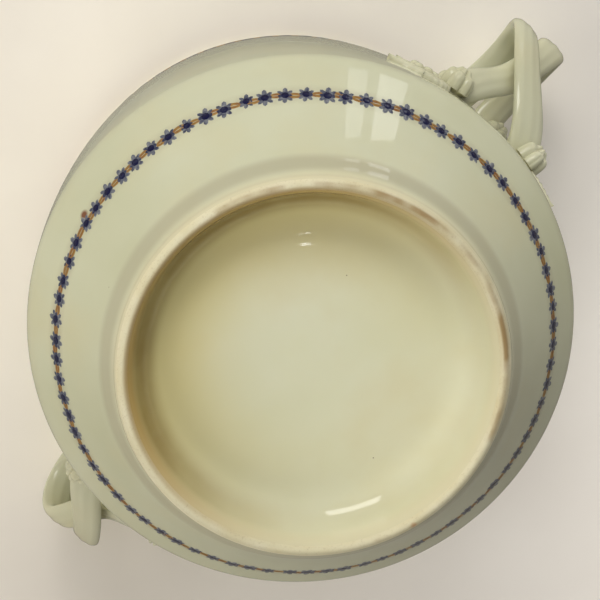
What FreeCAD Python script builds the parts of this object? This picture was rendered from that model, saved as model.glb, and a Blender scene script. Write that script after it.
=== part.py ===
import FreeCAD, Part
import math
import os
import Sketcher

# Two-handled porcelain pot with entwined strap handles. Millimetres, +Z up,
# origin on the table plane under the centre of the foot, handle "a" on +X.

V = FreeCAD.Vector
doc = FreeCAD.newDocument("porcelain_pot")
sheet = doc.addObject("Spreadsheet::Sheet", "dims")

# alias: number, or a formula over other aliases
DIMS = {
    "belly_r": "56.3",          # widest radius
    "belly_z": "31.5",          # height of the widest radius
    "rim_r": "52.6",            # outside radius at the rim
    "rim_z": "83.2",            # height where the rounded lip begins
    "lip_h": "1.3",             # rise of the rounded lip
    "wall_t": "3",
    "shoulder_r": "=belly_r - 1.77",   # end of the tight curve under the belly
    "shoulder_z": "=belly_z - 5.02",
    "shoulder_bend": "8",
    "upper_bend": "=((rim_z - belly_z)^2 + (belly_r - rim_r)^2) / (2 * (belly_r - rim_r))",
    "lower_bend": "182",        # slight hollow of the lower wall
    "seat_r": "40",             # where the bowl leaves the foot
    "seat_z": "5.4",
    "cove_in_r": "34.2",
    "recess_r": "31",
    "recess_z": "9.5",
    "cove_bend": "4.6",
    "panel_t": "1.5",
    "floor_z": "12.8",          # inside floor
    "floor_r": "33.5",
    "floor_turn_r": "44.22",
    "floor_turn_z": "17.6",
    "floor_bend": "14",
    "inner_rim_r": "=rim_r - 2.6",
    "inner_belly_r": "=belly_r - wall_t",
    "inner_shoulder_r": "=shoulder_r - 0.7814 * wall_t",
    "inner_shoulder_z": "=shoulder_z + 0.624 * wall_t",
    "inner_shoulder_bend": "=shoulder_bend - wall_t",
    "inner_upper_bend": "=upper_bend - wall_t",
    "inner_lower_bend": "=lower_bend + wall_t",
    "lip_bend": "1.32",
    "foot_out_r": "37.9",
    "foot_top_r": "39.6",
    "foot_in_r": "35.2",
    "band_z": "0.9",            # height of the unglazed band
    "band_out_r": "37.2",
    "band_in_r": "36",
    "band_bend": "1",
    "foot_bend": "9",
    "strap_w": "7",
    "strap_t": "3",
    "leaf_t": "1",
    "petal_r": "1.65",
    "petal_ring": "2",
    "berry_r": "1.25",
    "star_count": "78",
    "star_z": "20.6",
    "star_w": "2.5",
    "star_h": "3.4",
    "enamel_t": "0.12",
    "rim_star_z": "80.2",
    "gilt_z": "0.9",            # height of the gilt line on the rim
}


def fill_sheet():
    """Puts every driving dimension in its own named cell."""
    for row, (alias, value) in enumerate(DIMS.items(), start=1):
        sheet.set("A%d" % row, alias)
        sheet.set("B%d" % row, value)
        sheet.setAlias("B%d" % row, alias)
    doc.recompute()


def dim(alias):
    value = getattr(sheet, alias)
    return float(getattr(value, "Value", value))


def plane_of(body, role):
    for feature in body.Origin.OriginFeatures:
        if feature.Role == role:
            return feature
    raise RuntimeError("no plane " + role)


def arc_mid(p, q, radius, side):
    """Middle of the arc from p to q; side +1 bulges left of the travel."""
    chord = q.sub(p)
    half = chord.Length / 2
    sag = radius - math.sqrt(max(radius * radius - half * half, 0))
    left = V(-chord.y, chord.x, 0).normalize()
    return (p + q) * 0.5 + left * (side * sag)


def add_edge(sketch, p, q, bend):
    """Adds a line or an arc and returns its index."""
    if bend is None:
        return sketch.addGeometry(Part.LineSegment(p, q))
    mid = arc_mid(p, q, dim(bend[0]), bend[1])
    return sketch.addGeometry(Part.Arc(p, mid, q))


def end_of(sketch, index, point):
    """Which end of a sketch edge lies on a point: 1 or 2."""
    first = sketch.getPoint(index, 1)
    second = sketch.getPoint(index, 2)
    near = (first - point).Length < (second - point).Length
    return 1 if near else 2


def bind(sketch, kind, args, expression):
    index = sketch.addConstraint(Sketcher.Constraint(kind, *args))
    sketch.setExpression("Constraints[%d]" % index, expression)


def pin(sketch, index, end, r_alias, z_alias):
    """Holds one corner of the profile at its radius and height."""
    for kind, alias in (("DistanceX", r_alias), ("DistanceY", z_alias)):
        value = dim(alias) if alias else 0
        if abs(value) < 1e-9:
            axis = -2 if kind == "DistanceX" else -1
            sketch.addConstraint(Sketcher.Constraint("PointOnObject", index, end, axis))
        else:
            bind(sketch, kind, (-1, 1, index, end, value), "dims." + alias)


def profile_sketch(body, corners):
    """Closed half profile in the XZ plane.

    A corner is (radius alias, height alias, bend of the edge that leaves it).
    """
    sketch = body.newObject("Sketcher::SketchObject", body.Name + "_profile")
    sketch.AttachmentSupport = [(plane_of(body, "XZ_Plane"), "")]
    sketch.MapMode = "FlatFace"
    points = [V(dim(c[0]) if c[0] else 0, dim(c[1]) if c[1] else 0, 0) for c in corners]
    count = len(points)
    edges = []
    for i, corner in enumerate(corners):
        edges.append(add_edge(sketch, points[i], points[(i + 1) % count], corner[2]))
    for i, corner in enumerate(corners):
        before = edges[i - 1]
        after = edges[i]
        a = end_of(sketch, before, points[i])
        b = end_of(sketch, after, points[i])
        sketch.addConstraint(Sketcher.Constraint("Coincident", before, a, after, b))
        pin(sketch, after, b, corner[0], corner[1])
        if corner[2]:
            bind(sketch, "Radius", (after, dim(corner[2][0])), "dims." + corner[2][0])
    return sketch


def turned_body(label, corners):
    """A Body made by one full turn of a half profile."""
    body = doc.addObject("PartDesign::Body", label)
    body.Label = label
    sketch = profile_sketch(body, corners)
    turn = body.newObject("PartDesign::Revolution", label + "_turn")
    turn.Profile = sketch
    turn.ReferenceAxis = (sketch, ["V_Axis"])
    turn.Angle = 360
    sketch.Visibility = False
    body.Tip = turn
    doc.recompute()
    return body


# ------------------------------------------------------------- the pot

# the belly curves bulge outward, right of the travel; the lower wall is hollow
OUTSIDE = [
    ("seat_r", "seat_z", ("lower_bend", 1)),
    ("shoulder_r", "shoulder_z", ("shoulder_bend", -1)),
    ("belly_r", "belly_z", ("upper_bend", -1)),
    ("rim_r", "rim_z", ("lip_bend", -1)),
]
INSIDE = [
    ("inner_rim_r", "rim_z", ("inner_upper_bend", 1)),
    ("inner_belly_r", "belly_z", ("inner_shoulder_bend", 1)),
    ("inner_shoulder_r", "inner_shoulder_z", ("inner_lower_bend", -1)),
    ("floor_turn_r", "floor_turn_z", ("floor_bend", 1)),
    ("floor_r", "floor_z", None),
    (None, "floor_z", None),
]


def add_panel_cells():
    row = len(DIMS) + 1
    sheet.set("A%d" % row, "panel_top")
    sheet.set("B%d" % row, "=recess_z + panel_t")
    sheet.setAlias("B%d" % row, "panel_top")
    doc.recompute()


def make_pot():
    under = [
        (None, "panel_top", None),
        ("recess_r", "panel_top", None),
        ("recess_r", "recess_z", ("cove_bend", -1)),
        ("cove_in_r", "seat_z", None),
    ]
    turned_body("bowl_body", OUTSIDE + INSIDE + under)
    turned_body("recess_panel", [
        (None, "recess_z", None),
        ("recess_r", "recess_z", None),
        ("recess_r", "panel_top", None),
        (None, "panel_top", None),
    ])
    turned_body("foot_ring", [
        ("foot_in_r", "band_z", None),
        ("foot_out_r", "band_z", ("foot_bend", 1)),
        ("foot_top_r", "seat_z", None),
        ("cove_in_r", "seat_z", None),
    ])
    turned_body("foot_contact_band", [
        ("band_in_r", None, None),
        ("band_out_r", None, ("band_bend", -1)),
        ("foot_out_r", "band_z", None),
        ("foot_in_r", "band_z", ("band_bend", -1)),
    ])


def outside_wire(grow):
    """The outer wall line from seat to rim, moved outward by grow."""
    names = [(c[0], c[1]) for c in OUTSIDE]
    points = [V(dim(r), 0, dim(z)) for r, z in names]
    slopes = [59.46, 51.39, 90, 98.2]
    moved = []
    for p, slope in zip(points, slopes):
        a = math.radians(slope)
        moved.append(p + V(math.sin(a), 0, -math.cos(a)) * grow)
    bends = [("lower_bend", 1), ("shoulder_bend", -1), ("upper_bend", -1)]
    edges = []
    for p, q, (bend, side) in zip(moved, moved[1:], bends):
        mid = arc_mid(V(p.x, p.z, 0), V(q.x, q.z, 0), dim(bend) - side * grow, side)
        edges.append(Part.Arc(p, V(mid.x, 0, mid.y), q).toShape())
    return edges, moved


def filled_pot(grow):
    """The pot as one filled turning, grown by a small amount."""
    edges, moved = outside_wire(grow)
    low = moved[0]
    top = moved[-1]
    roof = V(0, 0, top.z)
    floor = V(0, 0, low.z)
    edges.append(Part.makeLine(top, roof))
    edges.append(Part.makeLine(roof, floor))
    edges.append(Part.makeLine(floor, low))
    face = Part.Face(Part.Wire(Part.__sortEdges__(edges)))
    return face.revolve(V(0, 0, 0), V(0, 0, 1), 360)


def wall_radius(z):
    """Outer radius at a height above the shoulder or on the lower wall."""
    if z >= dim("belly_z"):
        bend = dim("upper_bend")
        drop = z - dim("belly_z")
        return dim("belly_r") - bend + math.sqrt(bend * bend - drop * drop)
    if z >= dim("shoulder_z"):
        bend = dim("shoulder_bend")
        drop = dim("belly_z") - z
        return dim("belly_r") - bend + math.sqrt(bend * bend - drop * drop)
    low = V(dim("seat_r"), dim("seat_z"), 0)
    high = V(dim("shoulder_r"), dim("shoulder_z"), 0)
    bend = dim("lower_bend")
    chord = high - low
    reach = math.sqrt(bend * bend - chord.Length * chord.Length / 4)
    centre = (low + high) * 0.5 + V(chord.y, -chord.x, 0).normalize() * reach
    return centre.x - math.sqrt(bend * bend - (z - centre.y) ** 2)


def wall_slope(z):
    """Angle of the wall line above the horizontal, in degrees."""
    step = 0.05
    rise = wall_radius(z + step) - wall_radius(z - step)
    return math.degrees(math.atan2(2 * step, rise))


# --------------------------------------------------------- the handles

# Spine of each strap as (across, radius, height); across is along +Y on handle a.
# Handle b was set on by eye, a little short of half a turn from handle a.
HANDLE_B_TURN = 176.6
OUTER_SPINE = [
    (10.6, 53.4, 45.6), (7.6, 59.4, 46.6), (2.8, 65.4, 50.2), (-2.2, 71.4, 56.8),
    (-4.6, 75.2, 65.4), (-2.6, 72.4, 73.4), (-1.0, 64.6, 77.2), (-2.6, 50.9, 75.6),
]
INNER_SPINE = [
    (-11.0, 53.4, 46.0), (-8.6, 58.2, 48.0), (-5.0, 62.0, 52.0), (-0.6, 67.0, 58.6),
    (2.7, 76.2, 66.0), (4.8, 74.0, 73.4), (6.2, 65.0, 77.0), (6.8, 50.9, 75.4),
]


def strap_section(centre, along, across):
    """Rounded strap section with three shallow reeds on its outer face."""
    normal = along.cross(across).normalize()
    half_w = dim("strap_w") / 2
    half_t = dim("strap_t") / 2
    points = []
    steps = 24
    for i in range(steps):
        a = 2 * math.pi * i / steps
        x = half_w * math.copysign(abs(math.cos(a)) ** 0.85, math.cos(a))
        reed = 0.16 * math.cos(3 * math.pi * x / half_w) * abs(math.sin(a))
        y = (half_t + reed) * math.sin(a)
        points.append(centre + across * x + normal * y)
    curve = Part.BSplineCurve()
    curve.interpolate(points, PeriodicFlag=True)
    return Part.Wire(curve.toShape())


def strap_solid(spine):
    """Sweeps the strap section along its spine, kept square to handle a."""
    curve = Part.BSplineCurve()
    curve.interpolate([V(r, u, z) for u, r, z in spine])
    start = curve.FirstParameter
    along = curve.tangent(start)[0]
    across = (V(0, 1, 0) - along * along.y).normalize()
    sweep = Part.BRepOffsetAPI.MakePipeShell(Part.Wire(curve.toShape()))
    sweep.setBiNormalMode(V(0, 1, 0))
    sweep.add(strap_section(curve.value(start), along, across))
    sweep.build()
    sweep.makeSolid()
    return sweep.shape()


# ------------------------------------------------ flowers, leaves, berries

def wall_frame(u, z):
    """Point on the wall of handle a's side, with outward, sideways and up."""
    radius = wall_radius(z)
    turn = math.asin(u / radius)
    tilt = math.radians(90 - wall_slope(z))
    radial = V(math.cos(turn), math.sin(turn), 0)
    side = V(-math.sin(turn), math.cos(turn), 0)
    out = radial * math.cos(tilt) - V(0, 0, 1) * math.sin(tilt)
    up = out.cross(side)
    return radial * radius + V(0, 0, z), out, side, up


def flower(u, z, lift):
    """Five round petals about a raised eye, standing off the wall by lift."""
    base, out, side, up = wall_frame(u, z)
    centre = base + out * lift
    ring = dim("petal_ring")
    petals = []
    for k in range(5):
        a = math.radians(90 + 72 * k)
        at = centre + side * (ring * math.cos(a)) + up * (ring * math.sin(a))
        petals.append(Part.makeSphere(dim("petal_r"), at))
    eye = Part.makeSphere(1.25, centre + out * 0.95)
    stalk = Part.makeCylinder(1.9, lift + 1.5, base - out * 1.5, out)
    return eye.multiFuse(petals + [stalk])


def leaf(u, z, angle, length, width, shell):
    """Pointed leaf lying on the wall; it starts at (u, z) and runs at angle."""
    a = math.radians(angle)
    mid_u = u + 0.5 * length * math.cos(a)
    mid_z = z + 0.5 * length * math.sin(a)
    base, out, side, up = wall_frame(mid_u, mid_z)
    along = side * math.cos(a) + up * math.sin(a)
    aside = up * math.cos(a) - side * math.sin(a)
    low = base - out * 4
    tail = low - along * (length / 2)
    tip = low + along * (length / 2)
    edges = []
    for sign in (1, -1):
        edges.append(Part.Arc(tail, low + aside * (sign * width / 2), tip).toShape())
    blade = Part.Face(Part.Wire(edges)).extrude(out * 9)
    return blade.common(shell)


def berries(u, z, places):
    """Small round berries half sunk in the wall at offsets from (u, z)."""
    balls = []
    for du, dz in places:
        base, out, side, up = wall_frame(u + du, z + dz)
        balls.append(Part.makeSphere(dim("berry_r"), base + out * 0.55))
    return balls


# terminal: across, height, outward side, flower lift
TERMINALS = {
    "low_r": (10.6, 44.0, 1, 3.0),
    "low_l": (-11.0, 44.4, -1, 3.0),
    "top_r": (9.2, 73.2, 1, 2.4),
    "top_l": (-5.6, 73.4, -1, 2.4),
}


def spray_plan(name):
    """Leaf starts, angles and sizes for one terminal, on its outward side."""
    u, z, side, lift = TERMINALS[name]
    if name.startswith("low"):
        plan = [(2.2, 0.8, 14, 12, 5), (1.4, -2.6, -38, 9, 4.2), (1.6, 3.0, 58, 8.5, 4)]
    else:
        plan = [(2.4, -0.6, -6, 11, 4.6), (1.2, -3.0, -52, 8.5, 4), (-5.0, -4.4, -112, 7, 3.4)]
    return u, z, side, plan


def leaf_angle(side, angle):
    return angle if side > 0 else 180 - angle


def make_spray(name, shell):
    u, z, side, plan = spray_plan(name)
    blades = []
    for du, dz, angle, length, width in plan:
        turned = leaf_angle(side, angle)
        blades.append(leaf(u + side * du, z + dz, turned, length, width, shell))
    return blades[0].multiFuse(blades[1:])


def make_berries(name):
    u, z, side, lift = TERMINALS[name]
    if name.startswith("low"):
        places = [(5.4, 4.6), (7.9, 6.4), (7.6, 3.9)]
    else:
        places = [(4.6, -6.2), (7.2, -6.0), (5.8, -8.4)]
    return berries(u, z, [(side * du, dz) for du, dz in places])


def solids_only(shape):
    """Keeps the closed solids of a boolean result."""
    parts = [s for s in shape.Solids if s.Volume > 0.02]
    return parts[0] if len(parts) == 1 else Part.makeCompound(parts)


def largest(shape):
    """The biggest closed solid of a boolean result."""
    return max(shape.Solids, key=lambda solid: solid.Volume)


def add_feature(label, shape, turned=False):
    feature = doc.addObject("Part::Feature", label)
    feature.Label = label
    feature.Shape = shape
    turn = HANDLE_B_TURN if turned else 0
    feature.Placement = FreeCAD.Placement(V(0, 0, 0), FreeCAD.Rotation(V(0, 0, 1), turn))
    return feature


def add_pair(stem, tail, shape):
    """The same piece on handle a and, half a turn round, on handle b."""
    add_feature("%s_a_%s" % (stem, tail), shape)
    add_feature("%s_b_%s" % (stem, tail), shape, True)


def make_handles():
    pot = filled_pot(0)
    shell = filled_pot(dim("leaf_t")).cut(pot)
    outer = solids_only(strap_solid(OUTER_SPINE).cut(pot))
    inner = solids_only(strap_solid(INNER_SPINE).cut(pot).cut(outer))
    straps = [outer, inner]
    add_pair("strap", "outer", outer)
    add_pair("strap", "inner", inner)
    for name, (u, z, side, lift) in TERMINALS.items():
        head = largest(flower(u, z, lift).cut(pot).cut(outer).cut(inner))
        spray = make_spray(name, shell).cut(outer).cut(inner).cut(head)
        spray = solids_only(spray)
        fruit = []
        for ball in make_berries(name):
            piece = ball.cut(pot).cut(spray)
            for strap in straps:
                piece = piece.cut(strap)
            fruit.extend(s for s in piece.cut(head).Solids if s.Volume > 0.3)
        add_pair("flower", name, head)
        add_pair("leaves", name, spray)
        add_pair("berries", name, Part.makeCompound(fruit))


# ------------------------------------------------------- enamel and gilding

def star_outline(width, height):
    """Eight-lobed star in the sideways and up plane, as (side, up) pairs."""
    pairs = []
    for k in range(16):
        a = math.pi * k / 8
        reach = 1.0 if k % 2 == 0 else 0.62
        pairs.append((width / 2 * reach * math.cos(a), height / 2 * reach * math.sin(a)))
    return pairs


def link_outline(length, height):
    """Pointed chain link between two stars."""
    return [(-length / 2, 0), (-length / 5, height / 2), (length / 5, height / 2),
            (length / 2, 0), (length / 5, -height / 2), (-length / 5, -height / 2)]


def motif_ring(z, outline, offset):
    """Prisms of one outline, one per star place round the wall."""
    count = int(dim("star_count"))
    prisms = []
    for i in range(count):
        turn = 2 * math.pi * (i + offset) / count
        radius = wall_radius(z)
        tilt = math.radians(90 - wall_slope(z))
        radial = V(math.cos(turn), math.sin(turn), 0)
        side = V(-math.sin(turn), math.cos(turn), 0)
        out = radial * math.cos(tilt) - V(0, 0, 1) * math.sin(tilt)
        up = out.cross(side)
        base = radial * radius + V(0, 0, z) - out * 0.6
        points = [base + side * a + up * b for a, b in outline]
        face = Part.Face(Part.makePolygon(points + [points[0]]))
        prisms.append(face.extrude(out * 1.4))
    return prisms


def make_border(stem, z):
    pot = filled_pot(0)
    skin = filled_pot(dim("enamel_t")).cut(pot)
    stars = motif_ring(z, star_outline(dim("star_w"), dim("star_h")), 0)
    pitch = 2 * math.pi * wall_radius(z) / dim("star_count")
    link = link_outline(pitch - dim("star_w") - 0.12, 1.5)
    links = motif_ring(z, link, 0.5)
    for label, prisms in ((stem + "_stars", stars), (stem + "_chain", links)):
        pieces = []
        for prism in prisms:
            pieces.extend(prism.common(skin).Solids)
        add_feature(label, Part.makeCompound(pieces))


def make_rim_line():
    """Thin gilt line just under the lip."""
    pot = filled_pot(0)
    skin = filled_pot(dim("enamel_t")).cut(pot)
    top = dim("rim_z") - 0.1
    height = dim("gilt_z")
    slab = Part.makeCylinder(70, height, V(0, 0, top - height), V(0, 0, 1))
    add_feature("rim_gilding", solids_only(skin.common(slab)))


# ----------------------------------------------------------------- export

def check_document():
    for item in doc.Objects:
        if "Invalid" in item.State or "Error" in item.State:
            raise RuntimeError("bad state: " + item.Label)


def sub_parts():
    kinds = ("PartDesign::Body", "Part::Feature")
    return [item for item in doc.Objects if item.TypeId in kinds]


def export_all():
    os.makedirs("parts", exist_ok=True)
    for item in sub_parts():
        shape = item.Shape
        if shape.isNull() or not shape.isValid() or not shape.Solids:
            raise RuntimeError("bad shape: " + item.Label)
        shape.exportStep("parts/%s.step" % item.Label)
        print(item.Label, len(shape.Solids), round(shape.Volume, 2))


fill_sheet()
add_panel_cells()
make_pot()
make_handles()
make_border("belt", dim("star_z"))
make_border("rim", dim("rim_star_z"))
make_rim_line()
doc.recompute()
check_document()
export_all()
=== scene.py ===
import math

import bmesh
import bpy
import numpy as np
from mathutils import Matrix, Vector


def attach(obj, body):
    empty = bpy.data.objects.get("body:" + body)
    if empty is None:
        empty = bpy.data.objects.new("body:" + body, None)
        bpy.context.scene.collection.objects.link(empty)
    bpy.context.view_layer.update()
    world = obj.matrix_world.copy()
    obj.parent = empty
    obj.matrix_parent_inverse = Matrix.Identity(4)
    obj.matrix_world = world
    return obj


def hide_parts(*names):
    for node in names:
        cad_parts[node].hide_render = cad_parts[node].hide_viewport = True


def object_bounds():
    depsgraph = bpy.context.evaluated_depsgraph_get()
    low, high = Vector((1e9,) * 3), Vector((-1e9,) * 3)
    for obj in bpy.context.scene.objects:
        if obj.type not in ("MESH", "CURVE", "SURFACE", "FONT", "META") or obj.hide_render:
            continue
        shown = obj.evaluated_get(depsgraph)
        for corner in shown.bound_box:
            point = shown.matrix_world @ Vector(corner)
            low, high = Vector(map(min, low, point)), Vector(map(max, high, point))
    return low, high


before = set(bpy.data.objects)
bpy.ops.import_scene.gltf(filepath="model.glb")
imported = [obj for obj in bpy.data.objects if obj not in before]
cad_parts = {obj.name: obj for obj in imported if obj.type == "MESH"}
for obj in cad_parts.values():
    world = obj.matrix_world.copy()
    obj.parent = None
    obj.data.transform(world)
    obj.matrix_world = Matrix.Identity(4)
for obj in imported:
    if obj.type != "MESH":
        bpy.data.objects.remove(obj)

# A two-handled porcelain pot with crossed straps, sprigs and a painted star belt.
# It is laid out foot down at the origin, with handle a towards +X.
# Lengths in the tables below are millimetres; MM turns them to metres.
MM = 0.001
# towards the side where the recess glaze is brownest, as pooled glaze and as painted shade where the foot's
# shadow falls; its length sets how fast that fades
POOL_AND_SHADE_SIDE = (-2.0, -18.0, 0)
cad_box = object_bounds()


# ------------------------------------------------------------ colour and nodes

def srgb(code):
    """Hex sRGB colour to the linear values that shaders take."""
    values = [int(code[i:i + 2], 16) / 255 for i in (1, 3, 5)]
    linear = [v / 12.92 if v <= 0.04045 else ((v + 0.055) / 1.055) ** 2.4 for v in values]
    return (*linear, 1.0)


def add(tree, kind, inputs, out=0, stops=(), **settings):
    """Adds one node with its settings; inputs are values or other nodes' outputs."""
    made = tree.nodes.new(kind)
    for key, value in settings.items():
        setattr(made, key, value)
    for socket, value in inputs.items():
        if isinstance(value, bpy.types.NodeSocket):
            tree.links.new(value, made.inputs[socket])
        else:
            made.inputs[socket].default_value = value
    for index, (place, colour) in enumerate(stops):
        ends = made.color_ramp.elements
        stop = ends[index] if index < 2 else ends.new(place)
        stop.position = place
        stop.color = srgb(colour)
    return made.outputs[out]


def finish_named(name, **values):
    """A new finish: its node tree, and its shader with plain values set."""
    made = bpy.data.materials.new(name)
    made.use_nodes = True
    shader = made.node_tree.nodes["Principled BSDF"]
    for key, value in values.items():
        shader.inputs[key.replace("_", " ")].default_value = value
    return made, made.node_tree, shader


# ------------------------------------------------------------------ finishes

def glazed_porcelain(name, thin, thick, warm, ripple, bleed_and_foot_shade=False, recess_pool_and_shade=False):
    """High-fired glazed porcelain, thrown or pressed, then dipped.

    A grey-green white body shows through a clear gloss. The glaze is darker
    where it gathers, with shade painted darker into narrow corners, hazy over
    20 to 35 mm, and holds small burnt iron specks.
    """
    made, tree, shader = finish_named(
        name, IOR=1.52, Subsurface_Weight=0.06, Subsurface_Scale=1.2 * MM, Subsurface_Radius=(1.0, 0.85, 0.6))
    place = add(tree, "ShaderNodeTexCoord", {}, "Object")
    # haze of the glaze, about 34 mm across
    haze = add(tree, "ShaderNodeTexNoise", {"Vector": place, "Scale": 1 / (34 * MM), "Detail": 3.0})
    colour = add(tree, "ShaderNodeValToRGB", {"Fac": haze}, stops=[(0.3, thick), (0.7, thin)])
    # warmer clouds, about 21 mm across
    cloud = add(tree, "ShaderNodeTexNoise", {"Vector": place, "Scale": 1 / (21 * MM), "Detail": 4.0})
    warmth = add(tree, "ShaderNodeMapRange", {"Value": cloud, "From Min": 0.5, "From Max": 0.75,
                                              "To Max": 0.5})
    colour = add(tree, "ShaderNodeMix", {0: warmth, 6: colour, 7: srgb(warm)}, 2, data_type="RGBA")
    # glaze gathers in corners narrower than 2.5 mm, and shade is painted darker there too
    open_sky = add(tree, "ShaderNodeAmbientOcclusion", {"Distance": 2.5 * MM}, "AO", samples=6)
    gathered_glaze_and_shade = add(tree, "ShaderNodeMapRange", {"Value": open_sky, "From Min": 0.2, "From Max": 0.8,
                                                "To Min": 0.42, "To Max": 0.0})
    colour = add(tree, "ShaderNodeMix", {0: gathered_glaze_and_shade, 6: colour, 7: srgb("#9c9468")}, 2, data_type="RGBA")
    # in the recess: pooled glaze, with painted shade on the side where the foot's shadow falls
    if recess_pool_and_shade:
        colour = brown_pool_and_painted_shade(tree, place, colour)
    if bleed_and_foot_shade:
        colour = belt_bleed(tree, place, colour)
        # painted shade: a grey band in the hollow round the foot
        colour = foot_shade(tree, place, colour)
    colour = iron_specks(tree, place, colour, 0.08 if recess_pool_and_shade else 0.22)
    tree.links.new(colour, shader.inputs["Base Color"])
    # gloss, a little rubbed in patches 9 mm across
    rub = add(tree, "ShaderNodeTexNoise", {"Vector": place, "Scale": 1 / (9 * MM), "Detail": 4.0})
    gloss = add(tree, "ShaderNodeMapRange", {"Value": rub, "From Min": 0.3, "From Max": 0.8,
                                             "To Min": 0.02, "To Max": 0.06})
    tree.links.new(gloss, shader.inputs["Roughness"])
    glaze_ripple(tree, place, shader, ripple, rings=recess_pool_and_shade)
    return made


def glaze_ripple(tree, place, shader, depth, rings=False):
    """Soft orange peel of a thick glaze, 6 mm and 1.4 mm across.

    With rings, the turner's tool shows through as rings about 1.1 mm apart.
    """
    wide = add(tree, "ShaderNodeTexNoise", {"Vector": place, "Scale": 1 / (6 * MM), "Detail": 1.0})
    fine = add(tree, "ShaderNodeTexNoise", {"Vector": place, "Scale": 1 / (1.4 * MM), "Detail": 1.0})
    height = add(tree, "ShaderNodeMath", {0: fine, 1: 0.16, 2: wide}, operation="MULTIPLY_ADD")
    if rings:
        flat = add(tree, "ShaderNodeVectorMath", {0: place, 1: (1, 1, 0)}, operation="MULTIPLY")
        radius = add(tree, "ShaderNodeVectorMath", {0: flat}, "Value", operation="LENGTH")
        turned_rings = add(tree, "ShaderNodeTexNoise", {"W": radius, "Scale": 1 / (1.1 * MM), "Detail": 1.0},
                           noise_dimensions="1D")
        height = add(tree, "ShaderNodeMath", {0: turned_rings, 1: 0.34, 2: height}, operation="MULTIPLY_ADD")
    bump = add(tree, "ShaderNodeBump", {"Height": height, "Distance": depth * MM})
    tree.links.new(bump, shader.inputs["Normal"])


def iron_specks(tree, place, colour, share_shown):
    """Burnt iron specks of 0.35 mm and rarer rusty ones of 0.6 mm."""
    for spacing, size, tint, strength in ((5.5, 0.35, "#5b4a36", 0.75), (17.0, 0.6, "#9a5a38", 0.8)):
        cells = {"Vector": place, "Scale": 1 / (spacing * MM)}
        away = add(tree, "ShaderNodeTexVoronoi", cells, "Distance")
        tone = add(tree, "ShaderNodeTexVoronoi", cells, "Color")
        edge = 0.5 * size / spacing
        dot = add(tree, "ShaderNodeMapRange", {"Value": away, "From Min": 0.5 * edge, "From Max": edge,
                                               "To Min": strength, "To Max": 0.0})
        share = add(tree, "ShaderNodeSeparateColor", {"Color": tone}, "Red")
        rare = add(tree, "ShaderNodeMath", {0: share, 1: 1 - share_shown}, operation="GREATER_THAN")
        seen = add(tree, "ShaderNodeMath", {0: dot, 1: rare}, operation="MULTIPLY")
        colour = add(tree, "ShaderNodeMix", {0: seen, 6: colour, 7: srgb(tint)}, 2, data_type="RGBA")
    return colour


def brown_pool_and_painted_shade(tree, place, colour):
    """Brown glaze pooled where the recess floor meets the foot, with painted shade added on the side where
    the foot's shadow falls, most on that side.
    """
    axes = add(tree, "ShaderNodeVectorMath", {0: place, 1: (1, 1, 0)}, operation="MULTIPLY")
    radius = add(tree, "ShaderNodeVectorMath", {0: axes}, "Value", operation="LENGTH")
    # the pool is deepest towards one side, where painted shade of the foot's shadow is added to it
    lean = add(tree, "ShaderNodeVectorMath", {0: place, 1: POOL_AND_SHADE_SIDE}, "Value", operation="DOT_PRODUCT")
    side = add(tree, "ShaderNodeMapRange", {"Value": lean, "From Min": -0.45, "From Max": 0.5,
                                            "To Min": 0.15, "To Max": 1.0}, interpolation_type="SMOOTHSTEP")
    inner = add(tree, "ShaderNodeMapRange", {"Value": radius, "From Min": 29.2 * MM, "From Max": 33.2 * MM},
                interpolation_type="SMOOTHSTEP")
    outer = add(tree, "ShaderNodeMapRange", {"Value": radius, "From Min": 33.8 * MM, "From Max": 35.4 * MM,
                                             "To Min": 1.0, "To Max": 0.0}, interpolation_type="SMOOTHSTEP")
    ring = add(tree, "ShaderNodeMath", {0: inner, 1: outer}, operation="MULTIPLY")
    patchy = add(tree, "ShaderNodeTexNoise", {"Vector": place, "Scale": 1 / (15 * MM), "Detail": 3.0})
    broken = add(tree, "ShaderNodeMapRange", {"Value": patchy, "From Min": 0.25, "From Max": 0.7,
                                              "To Min": 0.6, "To Max": 1.0})
    pool_and_shade_mask = add(tree, "ShaderNodeMath", {0: ring, 1: side}, operation="MULTIPLY")
    pool_and_shade_mask = add(tree, "ShaderNodeMath", {0: pool_and_shade_mask, 1: broken}, operation="MULTIPLY")
    pool_and_shade_mask = add(tree, "ShaderNodeMath", {0: pool_and_shade_mask, 1: 0.9}, operation="MULTIPLY")
    # a thinner olive haze reaches further over the floor; on the shaded side it is partly painted shade
    reach = add(tree, "ShaderNodeMapRange", {"Value": radius, "From Min": 8 * MM, "From Max": 31 * MM,
                                             "To Max": 0.75}, interpolation_type="SMOOTHSTEP")
    haze = add(tree, "ShaderNodeMath", {0: reach, 1: side}, operation="MULTIPLY")
    colour = add(tree, "ShaderNodeMix", {0: haze, 6: colour, 7: srgb("#d9ca82")}, 2, data_type="RGBA")
    colour = add(tree, "ShaderNodeMix", {0: pool_and_shade_mask, 6: colour, 7: srgb("#80631a")}, 2, data_type="RGBA")
    # thin warm glaze again at the top of the foot's inner wall, painted browner as shade on the shaded side
    thin = add(tree, "ShaderNodeMapRange", {"Value": radius, "From Min": 33.8 * MM, "From Max": 35.0 * MM,
                                            "To Max": 0.8}, interpolation_type="SMOOTHSTEP")
    beige_and_shaded_brown = add(tree, "ShaderNodeMix", {0: side, 6: srgb("#dedabc"), 7: srgb("#b8924c")}, 2, data_type="RGBA")
    return add(tree, "ShaderNodeMix", {0: thin, 6: colour, 7: beige_and_shaded_brown}, 2, data_type="RGBA")


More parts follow.
